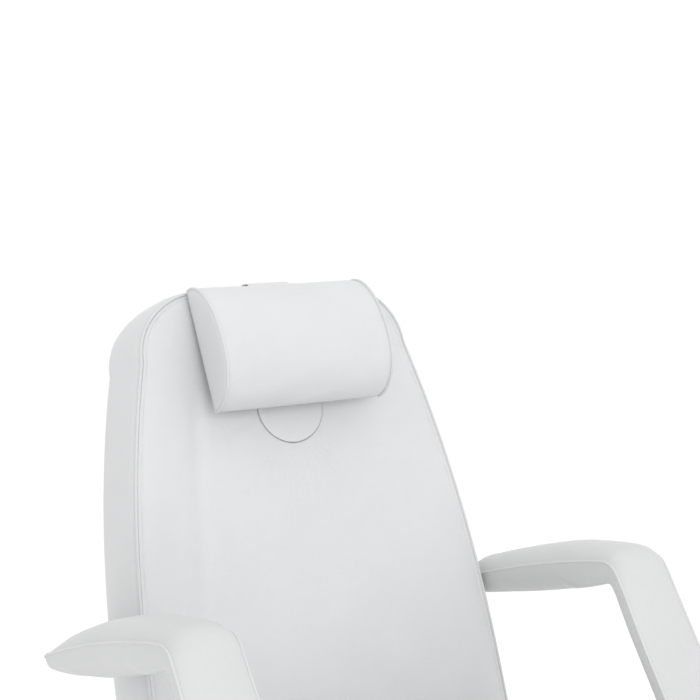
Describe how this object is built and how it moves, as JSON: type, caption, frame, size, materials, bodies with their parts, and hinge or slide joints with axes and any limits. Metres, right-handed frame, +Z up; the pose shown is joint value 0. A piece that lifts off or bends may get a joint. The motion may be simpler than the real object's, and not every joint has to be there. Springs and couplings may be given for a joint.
{
  "type": "beauty treatment chair",
  "caption": "White upholstered beauty treatment chair on a hydraulic column, with reclining back, leg rest, head pillow, face-hole plug and swivelling padded armrests.",
  "frame": {"origin": "on the floor under the column axis, at the underside of the base plate", "axes": "+Z up, -Y towards the front of the chair, +X to the right seen from the front"},
  "size_m": [0.8263, 1.2103, 1.2286],
  "materials": {
    "white_upholstery": "satin",
    "white_webbing": "matte",
    "plywood": "matte",
    "white_board": "satin",
    "chrome": "polished",
    "white_paint": "satin",
    "bright_steel": "satin",
    "black_rubber": "matte",
    "black_plastic": "matte"
  },
  "bodies": {
    "base": {"base_plate": "chrome", "base_ring": "black_rubber", "pump_body": "white_paint", "rod_seal": "black_rubber", "pedal_pin": "bright_steel"},
    "pedal": {"pump_lever": "chrome", "pedal_pad": "black_rubber"},
    "column": {"piston_rod": "chrome", "column_sleeve": "chrome", "thrust_washer": "bright_steel"},
    "seat": {"swivel_hub": "white_paint", "saddle_cheek_left": "white_paint", "saddle_cheek_right": "white_paint", "seat_rail_left": "white_paint", "seat_rail_right": "white_paint", "seat_crossbar_front": "white_paint", "seat_crossbar_rear": "white_paint", "seat_board": "plywood", "seat_cushion": "white_upholstery", "back_hinge_pin_left": "bright_steel", "back_hinge_pin_right": "bright_steel", "leg_hinge_pin_left": "bright_steel", "leg_hinge_pin_right": "bright_steel", "arm_socket_left": "white_paint", "arm_socket_right": "white_paint", "back_strut_bracket": "white_paint", "leg_strut_bracket": "white_paint", "back_strut_foot_pin": "bright_steel", "leg_strut_foot_pin": "bright_steel"},
    "backrest": {"back_bar_left": "white_paint", "back_bar_right": "white_paint", "back_crossbar": "white_paint", "back_board": "white_board", "back_cushion": "white_upholstery", "back_strut_pin": "bright_steel"},
    "legrest": {"leg_bar_left": "white_paint", "leg_bar_right": "white_paint", "leg_crossbar": "white_paint", "leg_board": "plywood", "leg_cushion": "white_upholstery", "leg_strut_pin": "bright_steel"},
    "pillow": {"head_pillow": "white_upholstery", "pillow_strap": "white_webbing"},
    "plug": {"face_plug": "white_upholstery", "face_plug_base": "white_board"},
    "armrest_left": {"armrest_pad_left": "white_upholstery", "armrest_bar_left": "bright_steel"},
    "armrest_right": {"armrest_pad_right": "white_upholstery", "armrest_bar_right": "bright_steel"},
    "knob_left": {"arm_knob_left": "black_plastic"},
    "knob_right": {"arm_knob_right": "black_plastic"},
    "back_release": {"back_release_lever": "bright_steel", "back_release_lever_grip": "black_rubber"},
    "leg_release": {"leg_release_lever": "bright_steel", "leg_release_lever_grip": "black_rubber"},
    "back_tube": {"back_strut_tube": "black_plastic"},
    "back_rod": {"back_strut_rod": "bright_steel"},
    "leg_tube": {"leg_strut_tube": "black_plastic"},
    "leg_rod": {"leg_strut_rod": "bright_steel"}
  },
  "joints": [
    {"name": "column_lift", "type": "slide", "parent": "base", "child": "column", "axis": [0, 0, 1], "range_m": [0, 0.16]},
    {"name": "seat_swivel", "type": "hinge", "parent": "column", "child": "seat", "pos_m": [0, 0, 0.4], "axis": [0, 0, 1], "continuous": true},
    {"name": "pump_pedal", "type": "hinge", "parent": "base", "child": "pedal", "pos_m": [0.078, 0, 0.098], "axis": [0, 1, 0], "range_deg": [0, 14], "stiffness_Nm_per_rad": 20, "springref_deg": -20.05},
    {"name": "backrest_recline", "type": "hinge", "parent": "seat", "child": "backrest", "pos_m": [0, 0.2514, 0.471], "axis": [-1, 0, 0], "range_deg": [0, 66]},
    {"name": "legrest_raise", "type": "hinge", "parent": "seat", "child": "legrest", "pos_m": [0, -0.30993, 0.54383], "axis": [-1, 0, 0], "range_deg": [0, 62]},
    {"name": "back_strut_swing", "type": "hinge", "parent": "seat", "child": "back_tube", "pos_m": [0, 0.24955, 0.31101], "axis": [-1, 0, 0], "range_deg": [0, 33]},
    {"name": "back_strut_stroke", "type": "slide", "parent": "back_tube", "child": "back_rod", "axis": [0, 0.3853, 0.9228], "range_m": [-0.1135, 0]},
    {"name": "leg_strut_swing", "type": "hinge", "parent": "seat", "child": "leg_tube", "pos_m": [0, -0.22335, 0.46074], "axis": [-1, 0, 0], "range_deg": [0, 31]},
    {"name": "leg_strut_stroke", "type": "slide", "parent": "leg_tube", "child": "leg_rod", "axis": [0, -0.9959, -0.0902], "range_m": [0, 0.0712]},
    {"name": "armrest_left_swivel", "type": "hinge", "parent": "seat", "child": "armrest_left", "pos_m": [-0.342, -0.17758, 0.53129], "axis": [0, 0.1392, 0.9903], "range_deg": [0, 100]},
    {"name": "armrest_right_swivel", "type": "hinge", "parent": "seat", "child": "armrest_right", "pos_m": [0.342, -0.17758, 0.53129], "axis": [0, -0.1392, -0.9903], "range_deg": [0, 100]},
    {"name": "knob_left_turn", "type": "hinge", "parent": "seat", "child": "knob_left", "pos_m": [-0.342, -0.17897, 0.52139], "axis": [0, -0.9903, 0.1392], "continuous": true},
    {"name": "knob_right_turn", "type": "hinge", "parent": "seat", "child": "knob_right", "pos_m": [0.342, -0.17897, 0.52139], "axis": [0, -0.9903, 0.1392], "continuous": true},
    {"name": "pillow_lift", "type": "slide", "parent": "backrest", "child": "pillow", "axis": [0, 0.319, 0.9478], "range_m": [0, 0.28]},
    {"name": "plug_pull", "type": "slide", "parent": "backrest", "child": "plug", "axis": [0, 0.9478, -0.319], "range_m": [0, 0.13]},
    {"name": "back_release_squeeze", "type": "hinge", "parent": "backrest", "child": "back_release", "pos_m": [0.0478, 0.41172, 0.64389], "axis": [1, 0, 0], "range_deg": [0, 20], "stiffness_Nm_per_rad": 1, "springref_deg": -22.92},
    {"name": "leg_release_squeeze", "type": "hinge", "parent": "legrest", "child": "leg_release", "pos_m": [0.0478, -0.40209, 0.39388], "axis": [-1, 0, 0], "range_deg": [0, 20], "stiffness_Nm_per_rad": 1, "springref_deg": -22.92}
  ],
  "couplings": [
    {"joint": "back_strut_swing", "follows": "backrest_recline", "ratio": 0.5},
    {"joint": "back_strut_stroke", "follows": "backrest_recline", "m_per_rad": -0.098231},
    {"joint": "leg_strut_swing", "follows": "legrest_raise", "ratio": 0.5},
    {"joint": "leg_strut_stroke", "follows": "legrest_raise", "m_per_rad": 0.065428}
  ]
}
